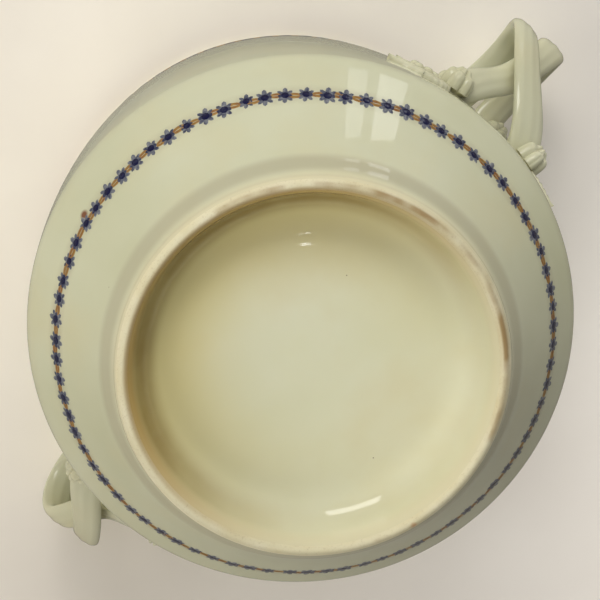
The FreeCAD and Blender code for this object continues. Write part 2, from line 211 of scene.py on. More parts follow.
def foot_shade(tree, place, colour):
    """Painted shade: a grey band in the hollow round the foot."""
    height = add(tree, "ShaderNodeSeparateXYZ", {"Vector": place}, "Z")
    off = add(tree, "ShaderNodeMath", {0: height, 1: 5.4 * MM}, operation="SUBTRACT")
    off = add(tree, "ShaderNodeMath", {0: off}, operation="ABSOLUTE")
    band = add(tree, "ShaderNodeMapRange", {"Value": off, "From Min": 0.5 * MM, "From Max": 2.6 * MM,
                                            "To Min": 0.6, "To Max": 0.0}, interpolation_type="SMOOTHSTEP")
    colour = add(tree, "ShaderNodeMix", {0: band, 6: colour, 7: srgb("#aaa48c")}, 2, data_type="RGBA")
    # the glaze is thin and warm on the foot itself
    thin = add(tree, "ShaderNodeMapRange", {"Value": height, "From Min": 1.2 * MM, "From Max": 4.6 * MM,
                                            "To Min": 0.6, "To Max": 0.0}, interpolation_type="SMOOTHSTEP")
    return add(tree, "ShaderNodeMix", {0: thin, 6: colour, 7: srgb("#ddd3b0")}, 2, data_type="RGBA")


def belt_bleed(tree, place, colour):
    """Faint bleed of blue and iron into the glaze beside the painted belts."""
    height = add(tree, "ShaderNodeSeparateXYZ", {"Vector": place}, "Z")
    uneven = add(tree, "ShaderNodeTexNoise", {"Vector": place, "Scale": 1 / (1.6 * MM)})
    broken = add(tree, "ShaderNodeMapRange", {"Value": uneven, "From Min": 0.3, "From Max": 0.7,
                                              "To Min": 0.4, "To Max": 1.0})
    for level, reach in ((BELT_Z, 2.2), (RIM_BELT_Z, 2.0)):
        off = add(tree, "ShaderNodeMath", {0: height, 1: level * MM}, operation="SUBTRACT")
        off = add(tree, "ShaderNodeMath", {0: off}, operation="ABSOLUTE")
        band = add(tree, "ShaderNodeMapRange", {"Value": off, "From Min": 0.3 * MM, "From Max": reach * MM,
                                                "To Min": 0.5, "To Max": 0.0})
        seen = add(tree, "ShaderNodeMath", {0: band, 1: broken}, operation="MULTIPLY")
        colour = add(tree, "ShaderNodeMix", {0: seen, 6: colour, 7: srgb("#9a8f78")}, 2, data_type="RGBA")
    # a burnt rust blister beside the belt, 1.5 mm across
    near = add(tree, "ShaderNodeVectorMath", {0: place, 1: (-12.9 * MM, -49.4 * MM, 22.0 * MM)}, "Value",
               operation="DISTANCE")
    spot = add(tree, "ShaderNodeMapRange", {"Value": near, "From Min": 0.55 * MM, "From Max": 1.2 * MM,
                                            "To Min": 0.9, "To Max": 0.0})
    return add(tree, "ShaderNodeMix", {0: spot, 6: colour, 7: srgb("#6e3417")}, 2, data_type="RGBA")


def rubbed_foot():
    """Foot crest, wiped clean of glaze and ground: cream clay, handled brown.

    Grit is 0.45 mm; brown stains run 14 mm along the ring, and one side is worst.
    """
    made, tree, shader = finish_named("rubbed_cream_biscuit", IOR=1.45)
    place = add(tree, "ShaderNodeTexCoord", {}, "Object")
    tint = add(tree, "ShaderNodeTexNoise", {"Vector": place, "Scale": 1 / (8 * MM), "Detail": 5.0})
    colour = add(tree, "ShaderNodeValToRGB", {"Fac": tint},
                 stops=[(0.25, "#d4caa4"), (0.8, "#e2dcc2"), (0.5, "#dbd4b3")])
    grit = add(tree, "ShaderNodeTexNoise", {"Vector": place, "Scale": 1 / (0.45 * MM), "Detail": 3.0})
    worn = add(tree, "ShaderNodeMapRange", {"Value": grit, "From Min": 0.55, "From Max": 0.8, "To Max": 0.4})
    colour = add(tree, "ShaderNodeMix", {0: worn, 6: colour, 7: srgb("#a08c5c")}, 2, data_type="RGBA")
    smear = add(tree, "ShaderNodeTexNoise", {"Vector": place, "Scale": 1 / (14 * MM), "Detail": 3.0})
    lean = add(tree, "ShaderNodeVectorMath", {0: place, 1: (3.4, 0.1, 0)}, "Value", operation="DOT_PRODUCT")
    smear = add(tree, "ShaderNodeMath", {0: smear, 1: lean}, operation="ADD")
    stain = add(tree, "ShaderNodeMapRange", {"Value": smear, "From Min": 0.56, "From Max": 0.72,
                                             "To Max": 0.85})
    flat = add(tree, "ShaderNodeVectorMath", {0: place, 1: (1, 1, 0)}, operation="MULTIPLY")
    radius = add(tree, "ShaderNodeVectorMath", {0: flat}, "Value", operation="LENGTH")
    off = add(tree, "ShaderNodeMath", {0: radius, 1: 36.7 * MM}, operation="SUBTRACT")
    off = add(tree, "ShaderNodeMath", {0: off}, operation="ABSOLUTE")
    line = add(tree, "ShaderNodeMapRange", {"Value": off, "From Min": 0.25 * MM, "From Max": 0.75 * MM,
                                            "To Min": 1.0, "To Max": 0.15}, interpolation_type="SMOOTHSTEP")
    stain = add(tree, "ShaderNodeMath", {0: stain, 1: line}, operation="MULTIPLY")
    colour = add(tree, "ShaderNodeMix", {0: stain, 6: colour, 7: srgb("#97794a")}, 2, data_type="RGBA")
    # brown glaze creeps up onto the crest's inner edge, on the side where it pooled; there it is also painted
    # shade of the foot's shadow
    edge = add(tree, "ShaderNodeMapRange", {"Value": radius, "From Min": 35.5 * MM, "From Max": 36.6 * MM,
                                            "To Min": 0.85, "To Max": 0.0})
    side = add(tree, "ShaderNodeVectorMath", {0: place, 1: POOL_AND_SHADE_SIDE}, "Value", operation="DOT_PRODUCT")
    side = add(tree, "ShaderNodeMapRange", {"Value": side, "From Min": -0.3, "From Max": 0.5})
    edge = add(tree, "ShaderNodeMath", {0: edge, 1: side}, operation="MULTIPLY")
    colour = add(tree, "ShaderNodeMix", {0: edge, 6: colour, 7: srgb("#b8924c")}, 2, data_type="RGBA")
    # one orange rust spot on the crest, 1.6 mm across
    near = add(tree, "ShaderNodeVectorMath", {0: place, 1: (-8.0 * MM, 36.2 * MM, 0.3 * MM)}, "Value",
               operation="DISTANCE")
    spot = add(tree, "ShaderNodeMapRange", {"Value": near, "From Min": 0.3 * MM, "From Max": 0.9 * MM,
                                            "To Min": 0.6, "To Max": 0.0})
    colour = add(tree, "ShaderNodeMix", {0: spot, 6: colour, 7: srgb("#bd8350")}, 2, data_type="RGBA")
    tree.links.new(colour, shader.inputs["Base Color"])
    matt = add(tree, "ShaderNodeMapRange", {"Value": tint, "From Min": 0.3, "From Max": 0.7,
                                            "To Min": 0.42, "To Max": 0.7})
    tree.links.new(matt, shader.inputs["Roughness"])
    bump = add(tree, "ShaderNodeBump", {"Height": grit, "Distance": 0.04 * MM})
    tree.links.new(bump, shader.inputs["Normal"])
    return made


def brushed_blue():
    """Cobalt blue brushed on: ink-dark where the brush sat, grey where it thinned."""
    made, tree, shader = finish_named("brushed_blue_enamel", Roughness=0.14, IOR=1.52)
    place = add(tree, "ShaderNodeTexCoord", {}, "Object")
    load = add(tree, "ShaderNodeAttribute", {}, "Fac", attribute_name="load")
    # the paint lies unevenly over 0.9 mm
    uneven = add(tree, "ShaderNodeTexNoise", {"Vector": place, "Scale": 1 / (0.9 * MM)})
    spread = add(tree, "ShaderNodeMapRange", {"Value": uneven, "To Min": -0.4, "To Max": 0.4})
    depth = add(tree, "ShaderNodeMath", {0: load, 1: spread}, operation="ADD")
    colour = add(tree, "ShaderNodeValToRGB", {"Fac": depth},
                 stops=[(0.05, "#a2a39a"), (1.0, "#15173a"), (0.3, "#7b7e84"), (0.64, "#393d52")])
    tree.links.new(colour, shader.inputs["Base Color"])
    glaze_ripple(tree, place, shader, 0.02)
    return made


def worn_gilding():
    """Thin fired gold over iron red, rubbed through to brown in 1.3 mm patches."""
    made, tree, shader = finish_named("worn_gilding", Roughness=0.38)
    place = add(tree, "ShaderNodeTexCoord", {}, "Object")
    patchy = add(tree, "ShaderNodeTexNoise", {"Vector": place, "Scale": 1 / (1.3 * MM), "Detail": 3.0})
    rubbed = add(tree, "ShaderNodeMapRange", {"Value": patchy, "From Min": 0.4, "From Max": 0.62})
    colour = add(tree, "ShaderNodeMix", {0: rubbed, 6: srgb("#ab8449"), 7: srgb("#875c32")}, 2,
                 data_type="RGBA")
    tree.links.new(colour, shader.inputs["Base Color"])
    metal = add(tree, "ShaderNodeMapRange", {"Value": rubbed, "To Min": 0.45, "To Max": 0.05})
    tree.links.new(metal, shader.inputs["Metallic"])
    glaze_ripple(tree, place, shader, 0.02)
    return made


# --------------------------------------------------------- shape of the pot

BELLY_R, BELLY_Z = 56.3, 31.5
RIM_R, RIM_Z = 52.6, 83.2
SHOULDER_R, SHOULDER_Z, SHOULDER_BEND = 54.53, 26.48, 8.0
LOWER_BEND = 182.0
LOWER_CENTRE = (196.745, -87.093)
UPPER_BEND = ((RIM_Z - BELLY_Z) ** 2 + (BELLY_R - RIM_R) ** 2) / (2 * (BELLY_R - RIM_R))
BELT_Z, RIM_BELT_Z = 20.6, 80.2
WALL_T = 3.0
RIM_T = 2.6
INSIDE_FLOOR_Z = 12.8
# steps round a turned piece, and how far its thrown wall wavers
TURN_STEPS = 288
THROWN_WAVER = 0.04
# edges that turn more than this, in radians, are shown sharp
SHARP_EDGE = 0.9


def arc(p, q, bend, count):
    """Points from p up to, not including, q; a positive bend bulges right."""
    p, q = np.array(p, float), np.array(q, float)
    if not bend:
        return [tuple(p + (q - p) * i / count) for i in range(count)]
    chord = q - p
    length = np.hypot(*chord)
    right = np.array([chord[1], -chord[0]]) / length * math.copysign(1, bend)
    deep = math.sqrt(max(bend * bend - length * length / 4, 0))
    centre = (p + q) / 2 - right * deep
    first = math.atan2(*(p - centre)[::-1])
    last = math.atan2(*(q - centre)[::-1])
    turn = (last - first + math.pi) % (2 * math.pi) - math.pi
    angles = [first + turn * i / count for i in range(count)]
    return [(centre[0] + abs(bend) * math.cos(a), centre[1] + abs(bend) * math.sin(a)) for a in angles]


def outline(corners):
    """Profile through (radius, height, bend, count) corners."""
    points = []
    for here, there in zip(corners, corners[1:]):
        points += arc(here[:2], there[:2], here[2], here[3])
    points.append(corners[-1][:2])
    return points


def smooth_line(knots, count):
    """Evenly spread points and directions on a smooth cubic through knots."""
    knots = np.array(knots, float)
    gaps = np.linalg.norm(np.diff(knots, axis=0), axis=1)
    at = np.concatenate([[0], np.cumsum(gaps)])
    n = len(knots)
    system = np.zeros((n, n))
    right = np.zeros(knots.shape)
    system[0, 0] = system[-1, -1] = 1
    for i in range(1, n - 1):
        system[i, i - 1] = gaps[i - 1]
        system[i, i] = 2 * (gaps[i - 1] + gaps[i])
        system[i, i + 1] = gaps[i]
        right[i] = 6 * ((knots[i + 1] - knots[i]) / gaps[i] - (knots[i] - knots[i - 1]) / gaps[i - 1])
    bend = np.linalg.solve(system, right)
    places, ways = [], []
    for s in np.linspace(0, at[-1], count):
        i = min(int(np.searchsorted(at, s, "right")) - 1, n - 2)
        h, a, b = gaps[i], at[i + 1] - s, s - at[i]
        low, high = knots[i] / h - bend[i] * h / 6, knots[i + 1] / h - bend[i + 1] * h / 6
        places.append(bend[i] * a ** 3 / (6 * h) + bend[i + 1] * b ** 3 / (6 * h) + low * a + high * b)
        way = -bend[i] * a ** 2 / (2 * h) + bend[i + 1] * b ** 2 / (2 * h) - low + high
        ways.append(way / np.linalg.norm(way))
    return places, ways


def wall_radius(z):
    """Outer radius of the wall at height z, all in millimetres."""
    if z >= BELLY_Z:
        return BELLY_R - UPPER_BEND + math.sqrt(UPPER_BEND ** 2 - (z - BELLY_Z) ** 2)
    if z >= SHOULDER_Z:
        return BELLY_R - SHOULDER_BEND + math.sqrt(SHOULDER_BEND ** 2 - (BELLY_Z - z) ** 2)
    return LOWER_CENTRE[0] - math.sqrt(LOWER_BEND ** 2 - (z - LOWER_CENTRE[1]) ** 2)


def wall_slope(z):
    """Growth of the wall's radius for each millimetre of height, at height z."""
    return (wall_radius(z + 0.05) - wall_radius(z - 0.05)) / 0.1


def wall_frame(u, z):
    """Point on the wall at u across handle a's side, with out, side and up."""
    radius = wall_radius(z)
    turn = math.asin(u / radius)
    tilt = math.atan(wall_slope(z))
    radial = Vector((math.cos(turn), math.sin(turn), 0))
    side = Vector((-math.sin(turn), math.cos(turn), 0))
    out = radial * math.cos(tilt) - Vector((0, 0, 1)) * math.sin(tilt)
    return radial * radius + Vector((0, 0, z)), out, side, out.cross(side)


# ------------------------------------------------------------- mesh building

def finish_piece(name, points, faces, finish, stands_for=(), loads=None):
    """Makes a smooth mesh piece from points in millimetres and ties it in."""
    mesh = bpy.data.meshes.new(name)
    mesh.from_pydata([tuple(c * MM for c in p) for p in points], [], faces)
    if loads is not None:
        layer = mesh.attributes.new("load", "FLOAT", "POINT")
        layer.data.foreach_set("value", loads)
    shape = bmesh.new()
    shape.from_mesh(mesh)
    bmesh.ops.remove_doubles(shape, verts=shape.verts, dist=1e-6)
    bmesh.ops.recalc_face_normals(shape, faces=shape.faces)
    for edge in shape.edges:
        edge.smooth = edge.calc_face_angle(0.0) < SHARP_EDGE
    shape.to_mesh(mesh)
    shape.free()
    mesh.polygons.foreach_set("use_smooth", [True] * len(mesh.polygons))
    mesh.materials.append(finish)
    piece = bpy.data.objects.new(name, mesh)
    bpy.context.collection.objects.link(piece)
    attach(piece, "root")
    if stands_for:
        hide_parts(*stands_for)
    return piece


def turned(profile, wobble=0.0):
    """Points and faces of a closed section turned round; wobble is a hand-thrown waver inward."""
    points, faces = [], []
    count = len(profile)
    for j in range(TURN_STEPS):
        a = 2 * math.pi * j / TURN_STEPS
        for r, z in profile:
            waver = 0.5 + 0.3 * math.sin(2 * a + 0.7 + z * 0.02) + 0.2 * math.sin(3 * a + z * 0.09)
            radius = r - wobble * waver * min(r / 20, 1)
            points.append((radius * math.cos(a), radius * math.sin(a), z))
    for j in range(TURN_STEPS):
        for i in range(count):
            a = j * count + i
            b = j * count + (i + 1) % count
            c = ((j + 1) % TURN_STEPS) * count + (i + 1) % count
            d = ((j + 1) % TURN_STEPS) * count + i
            faces.append((a, b, c, d))
    return points, faces


def bowl_profile():
    """Wall section, from the foot seat up and over the rim and down inside."""
    outside = outline([
        (wall_radius(FOOT_TOP_Z), FOOT_TOP_Z, -LOWER_BEND, 28), (SHOULDER_R, SHOULDER_Z, SHOULDER_BEND, 14),
        (BELLY_R, BELLY_Z, UPPER_BEND, 34), (RIM_R, RIM_Z, 1.32, 10), (RIM_R - RIM_T, RIM_Z, 0, 1)])[:-1]
    inside = outline([
        (RIM_R - RIM_T, RIM_Z, -(UPPER_BEND - WALL_T), 24),
        (BELLY_R - WALL_T, BELLY_Z, -(SHOULDER_BEND - WALL_T), 10),
        (SHOULDER_R - 2.344, SHOULDER_Z + 1.872, LOWER_BEND + WALL_T, 12), (44.22, 17.6, -14, 10),
        (33.5, INSIDE_FLOOR_Z, 0, 8), (0.0, INSIDE_FLOOR_Z, 0, 1)])
    under = outline([(0.0, 11.0, 0, 6), (31.6, 11.0, 0, 2), (36.0, 8.4, 0, 2), (41.3, FOOT_TOP_Z + 1, 0, 1)])
    return outside + inside + under


# One soft section through recess and foot: (radius, height) knots from the
# middle of the floor, over the crest, and out into the bowl wall.
FOOT_SECTION = [
    (0.0, 9.64), (14.0, 9.62), (24.0, 9.54), (28.6, 9.25), (31.2, 8.1), (33.0, 6.3), (34.2, 4.1), (35.1, 1.5),
    (36.5, 0.0), (37.8, 0.9), (38.2, 2.4), (38.8, 3.9), (39.7, 5.2), (40.68, 6.5)]
# the outer foot runs on up the wall to this height
FOOT_TOP_Z = 9.4


def foot_parts():
    """Splits the section into recess, crest and outer foot, each closed inside."""
    climb = [(wall_radius(z), z) for z in (7.8, 8.6, FOOT_TOP_Z)]
    line, ways = smooth_line(FOOT_SECTION + climb, 240)
    line = [(max(p[0], 0.0), max(p[1], 0.0)) for p in line]
    first = next(i for i, p in enumerate(line) if p[0] > 35.5)
    second = next(i for i, p in enumerate(line) if p[0] > 37.6)
    recess = line[:first + 1] + [(36.0, 1.7), (34.9, 7.4), (31.4, 10.6), (0.0, 10.6)]
    crest = line[first:second + 1] + [(37.2, 1.7), (35.9, 1.7)]
    outer = line[second:] + [(41.2, 10.2), (38.9, 6.4), (37.0, 1.6)]
    return recess, crest, outer


def scene_pot(glaze, recess_glaze, biscuit):
    points, faces = turned(bowl_profile(), THROWN_WAVER)
    finish_piece("pot_wall", points, faces, glaze, ["bowl_body"])
    recess, crest, outer = foot_parts()
    for name, section, finish, slot, cad in (
            ("recess_floor", recess, recess_glaze, "recess_glaze", "recess_panel"),
            ("foot_crest", crest, biscuit, "bare_foot", "foot_contact_band"),
            ("foot_wall", outer, glaze, "porcelain_glaze", "foot_ring")):
        points, faces = turned(section, THROWN_WAVER)
        finish_piece(name, points, faces, finish, [cad])


# ------------------------------------------------------------------ handles

HANDLE_B_TURN = 176.6
OUTER_SPINE = [
    (10.6, 53.4, 45.6), (7.6, 59.4, 46.6), (2.8, 65.4, 50.2), (-2.2, 71.4, 56.8),
    (-4.6, 75.2, 65.4), (-2.6, 72.4, 73.4), (-1.0, 64.6, 77.2), (-2.6, 50.9, 75.6)]
INNER_SPINE = [
    (-11.0, 53.4, 46.0), (-8.6, 58.2, 48.0), (-5.0, 62.0, 52.0), (-0.6, 67.0, 58.6),
    (2.7, 76.2, 66.0), (4.8, 74.0, 73.4), (6.2, 65.0, 77.0), (6.8, 50.9, 75.4)]


def strap_mesh(spine, phase):
    """Reeded strap; its ends flare a little where they were pressed on."""
    places, ways = smooth_line([(r, u, z) for u, r, z in spine], 150)
    ring = 56
    points, faces = [], []
    for k, (place, way) in enumerate(zip(places, ways)):
        across = np.array([0, 1.0, 0]) - way * way[1]
        across /= np.linalg.norm(across)
        normal = np.cross(way, across)
        share = k / (len(places) - 1)
        flare = 1 + 0.12 * math.exp(-share / 0.07) + 0.12 * math.exp(-(1 - share) / 0.07)
        swell = 1 + 0.025 * math.sin(9 * share + phase)
        for j in range(ring):
            a = 2 * math.pi * j / ring
            x = math.copysign(abs(math.cos(a)) ** 0.9, math.cos(a))
            reed = 0.07 * math.cos(3 * math.pi * x) * abs(math.sin(a))
            y = (1.56 + reed) * math.sin(a) * swell
            points.append(place + across * (3.5 * x * flare * swell) + normal * y)
    for k in range(len(places) - 1):
        for j in range(ring):
            a, b = k * ring + j, k * ring + (j + 1) % ring
            faces.append((a, b, b + ring, a + ring))
    faces.append(tuple(range(ring)))
    last = (len(places) - 1) * ring
    faces.append(tuple(last + j for j in range(ring)))
    return points, faces


def across_the_pot(points):
    """Turns points round to handle b, set a little short of half a turn."""
    turn = math.radians(HANDLE_B_TURN)
    c, s = math.cos(turn), math.sin(turn)
    return [(c * p[0] - s * p[1], s * p[0] + c * p[1], p[2]) for p in points]


def on_both(name, cad_stem, cad_tail, points, faces, finish):
    """One piece on handle a, and the same across the pot on handle b."""
    for side, placed in (("a", points), ("b", across_the_pot(points))):
        stands_for = ["%s_%s_%s" % (cad_stem, side, cad_tail)]
        finish_piece("%s_%s" % (name, side), placed, faces, finish, stands_for)


# --------------------------------------------------- flowers, leaves, berries

# terminal: across, height, outward side, lift of the flower off the wall
TERMINALS = {
    "low_r": (10.6, 44.0, 1, 3.0),
    "low_l": (-11.0, 44.4, -1, 3.0),
    "top_r": (9.2, 73.2, 1, 2.4),
    "top_l": (-5.6, 73.4, -1, 2.4),
}


def flower_mesh(u, z, lift, spin):
    """Five cupped petals with a notch and veins, round a grained button eye."""
    base, out, side, up = wall_frame(u, z)
    rings, around = 22, 90
    points, faces = [], []
    for i in range(rings + 1):
        rho = i / rings
        for j in range(around):
            a = 2 * math.pi * j / around
            lobe = abs(math.cos(2.5 * (a + spin)))
            edge = 3.62 * (0.70 + 0.30 * lobe ** 0.55 - 0.05 * math.exp(-((lobe - 1) / 0.02) ** 2))
            radius = edge * math.sin(rho * math.pi / 2) if rho < 1 else edge
            cup = 1.25 * math.sin(math.pi * min(rho * 1.02, 1)) * (0.45 + 0.55 * lobe)
            vein = 0.07 * math.cos(30 * (a + spin)) * math.sin(math.pi * rho)
            grain = 0.08 * math.cos(7 * a) * math.exp(-((rho - 0.2) / 0.1) ** 2)
            eye = 1.7 * math.exp(-(rho / 0.30) ** 4) + grain
            fall = -2.6 * rho ** 5
            height = lift + 0.35 + cup + vein + eye + fall
            points.append(base + out * height + side * (radius * math.cos(a)) + up * (radius * math.sin(a)))
    for i in range(rings):
        for j in range(around):
            a, b = i * around + j, i * around + (j + 1) % around
            faces.append((a, b, b + around, a + around))
    start = len(points)
    for radius, height in ((2.5, lift - 2.6), (1.9, -0.8)):
        for j in range(around):
            a = 2 * math.pi * j / around
            points.append(base + out * height + side * (radius * math.cos(a)) + up * (radius * math.sin(a)))
    for first, second in ((rings * around, start), (start, start + around)):
        for j in range(around):
            k = (j + 1) % around
            faces.append((first + j, first + k, second + k, second + j))
    faces.append(tuple(start + around + j for j in range(around)))
    return points, faces


def leaf_mesh(u, z, angle, length, width):
    """Serrated leaf with a sunk midrib and side veins, lying on the wall."""
    a = math.radians(angle)
    along, across = 34, 18
    top, under = [], []
    for i in range(along + 1):
        s = i / along
        half = 0.5 * width * math.sin(math.pi * s ** 0.85) ** 0.8 if 0 < s < 1 else 0.0
        half *= 1 + 0.07 * math.cos(2 * math.pi * 7 * s)
        bow = 0.06 * length * math.sin(math.pi * s)
        for j in range(across + 1):
            t = 2 * j / across - 1
            du = s * length * math.cos(a) - (t * half + bow) * math.sin(a)
            dz = s * length * math.sin(a) + (t * half + bow) * math.cos(a)
            base, out, side, up = wall_frame(u + du, z + dz)
            dome = 0.55 + 0.5 * (1 - t * t) * math.sin(math.pi * min(s + 0.1, 1))
            rib = -0.30 * math.exp(-(t / 0.13) ** 2)
            vein = 0.11 * math.cos(2 * math.pi * (6 * s - 1.6 * abs(t))) * (1 - abs(t) ** 3)
            curl = 0.5 * s ** 4
            top.append(base + out * (dome + rib + vein + curl - 0.55 * abs(t) ** 6))
            under.append(base - out * 0.3)
    points = top + under
    shift = len(top)
    row = across + 1
    faces = []
    for i in range(along):
        for j in range(across):
            k = i * row + j
            faces.append((k, k + 1, k + row + 1, k + row))
            faces.append((shift + k, shift + k + row, shift + k + row + 1, shift + k + 1))
        for k in (i * row, i * row + across):
            faces.append((k, k + row, shift + k + row, shift + k))
    for i in (0, along):
        for j in range(across):
            k = i * row + j
            faces.append((k, k + 1, shift + k + 1, shift + k))
    return points, faces


def stalk_mesh(u, z, angle, length):
    """Thin moulded stalk running along the wall."""
    a = math.radians(angle)
    ring, count = 10, 16
    points, faces = [], []
    for i in range(count + 1):
        s = i / count
        bow = 0.10 * length * math.sin(math.pi * s)
        du = s * length * math.cos(a) - bow * math.sin(a)
        dz = s * length * math.sin(a) + bow * math.cos(a)
        base, out, side, up = wall_frame(u + du, z + dz)
        across = up * math.cos(a) - side * math.sin(a)
        thick = 0.62 - 0.24 * s
        for j in range(ring):
            b = 2 * math.pi * j / ring
            points.append(base + out * (0.25 + thick * math.cos(b)) + across * (thick * math.sin(b)))
    for i in range(count):
        for j in range(ring):
            k, m = i * ring + j, i * ring + (j + 1) % ring
            faces.append((k, m, m + ring, k + ring))
    faces.append(tuple(range(ring)))
    faces.append(tuple(count * ring + j for j in range(ring)))
    return points, faces


def berry_mesh(u, z):
    """Round berry with a small dimple at its tip."""
    base, out, side, up = wall_frame(u, z)
    centre = base + out * 0.55
    rings, around = 16, 24
    points, faces = [], []
    for i in range(rings + 1):
        polar = math.pi * i / rings
        dimple = 1 - 0.16 * math.exp(-(polar / 0.28) ** 2)
        for j in range(around):
            a = 2 * math.pi * j / around
            reach = 1.25 * dimple
            wide = reach * math.sin(polar)
            flat = side * (wide * math.cos(a)) + up * (wide * math.sin(a))
            points.append(centre + out * (reach * math.cos(polar)) + flat)
    for i in range(rings):
        for j in range(around):
            k, m = i * around + j, i * around + (j + 1) % around
            faces.append((k, m, m + around, k + around))
    return points, faces


def joined(parts):
    """Puts several point and face lists together as one."""
    points, faces = [], []
    for some_points, some_faces in parts:
        shift = len(points)
        points += list(some_points)
        faces += [tuple(shift + k for k in face) for face in some_faces]
    return points, faces


def spray_plan(name):
    """Leaves as (across, up, angle, length, width) and berries as (across, up)."""
    if name.startswith("low"):
        leaves = [(2.2, 0.8, 14, 12, 5), (1.4, -2.6, -38, 9, 4.2), (1.6, 3.0, 58, 8.5, 4)]
        return leaves, [(5.4, 4.6), (7.9, 6.4), (7.6, 3.9)]
    leaves = [(2.4, -0.6, -6, 11, 4.6), (1.2, -3.0, -52, 8.5, 4), (-5.0, -4.4, -112, 7, 3.4)]
    return leaves, [(4.6, -6.2), (7.2, -6.0), (5.8, -8.4)]


def scene_handles(strap_glaze, sprig_glaze):
    for name, spine, phase in (("outer", OUTER_SPINE, 0.4), ("inner", INNER_SPINE, 2.1)):
        points, faces = strap_mesh(spine, phase)
        on_both("strap_" + name, "strap", name, points, faces, strap_glaze)
    for index, (name, (u, z, side, lift)) in enumerate(TERMINALS.items()):
        points, faces = flower_mesh(u, z, lift, 0.3 + 0.5 * index)
        on_both("flower_" + name, "flower", name, points, faces, sprig_glaze)
        leaves, fruit = spray_plan(name)
        blades = []
        for du, dz, angle, length, width in leaves:
            turned_angle = angle if side > 0 else 180 - angle
            blades.append(leaf_mesh(u + side * du, z + dz, turned_angle, length, width))
        balls = [berry_mesh(u + side * du, z + dz) for du, dz in fruit]
        for du, dz in fruit:
            reach = math.hypot(du, dz)
            turn = math.degrees(math.atan2(dz, side * du))
            blades.append(stalk_mesh(u, z, turn, reach))
        points, faces = joined(blades)
        on_both("leaves_" + name, "leaves", name, points, faces, sprig_glaze)
        points, faces = joined(balls)
        on_both("berries_" + name, "berries", name, points, faces, sprig_glaze)


# ------------------------------------------------------- painted star belts

STAR_COUNT = 78
# how far the paint sits into the glaze
SUNK = 0.03
# by how much a link is shorter than half the spacing, at each end
LINK_GAP = 0.6
# lower edge of the gilt line round the rim
RIM_LINE_Z = 82.2


def brush_blob(points, faces, loads, outline_pairs, height, load_in, load_out):
    """A fan of paint: a raised middle and a thin edge."""
    start = len(points)
    centre_a = sum(p[0] for p in outline_pairs) / len(outline_pairs)
    centre_b = sum(p[1] for p in outline_pairs) / len(outline_pairs)
    points.append((height, centre_a, centre_b))
    loads.append(load_in)
    count = len(outline_pairs)
    for scale, rise, load in ((0.72, 0.9, load_in), (1.0, 0.1, load_out)):
        for a, b in outline_pairs:
            out_a, out_b = (a - centre_a) * scale, (b - centre_b) * scale
            points.append((height * rise, centre_a + out_a, centre_b + out_b))
            loads.append(load)
    for j in range(count):
        k = (j + 1) % count
        faces.append((start, start + 1 + j, start + 1 + k))
        faces.append((start + 1 + j, start + 1 + count + j, start + 1 + count + k, start + 1 + k))


def star_motif():
    """Eight brushed petals round a dark heart, in millimetres."""
    points, faces, loads = [], [], []
    for k in range(8):
        a = math.pi * k / 4 + 0.1 * math.sin(5 * k)
        upright = abs(math.sin(a))
        reach = 1.34 + 0.62 * upright
        width = 0.52 + 0.06 * math.cos(3 * k)
        petal = []
        for j in range(7):
            b = 2 * math.pi * j / 7
            s = 0.62 + 0.5 * math.cos(b)
            petal.append((reach * s * math.cos(a) - width * math.sin(b) * math.sin(a),
                          reach * s * math.sin(a) + width * math.sin(b) * math.cos(a)))
        brush_blob(points, faces, loads, petal, 0.075, 0.66 - 0.22 * upright, 0.34 - 0.16 * upright)
    heart = [(0.98 * math.cos(2 * math.pi * j / 9), 1.02 * math.sin(2 * math.pi * j / 9)) for j in range(9)]
    brush_blob(points, faces, loads, heart, 0.11, 1.0, 0.85)
    return points, faces, loads


def link_motif(half):
    """Two bowed gilt strokes that close into a chain link."""
    points, faces, loads = [], [], []
    for sign in (1, -1):
        stroke = []
        for j in range(5):
            s = 2 * j / 4 - 1
            stroke.append((half * s, sign * (0.36 + 0.42 * (1 - s * s))))
        for j in range(4, -1, -1):
            s = 2 * j / 4 - 1
            stroke.append((half * s * 0.96, sign * (0.10 * (1 - s * s) - 0.04)))
        brush_blob(points, faces, loads, stroke, 0.07, 0.6, 0.3)
    return points, faces, loads


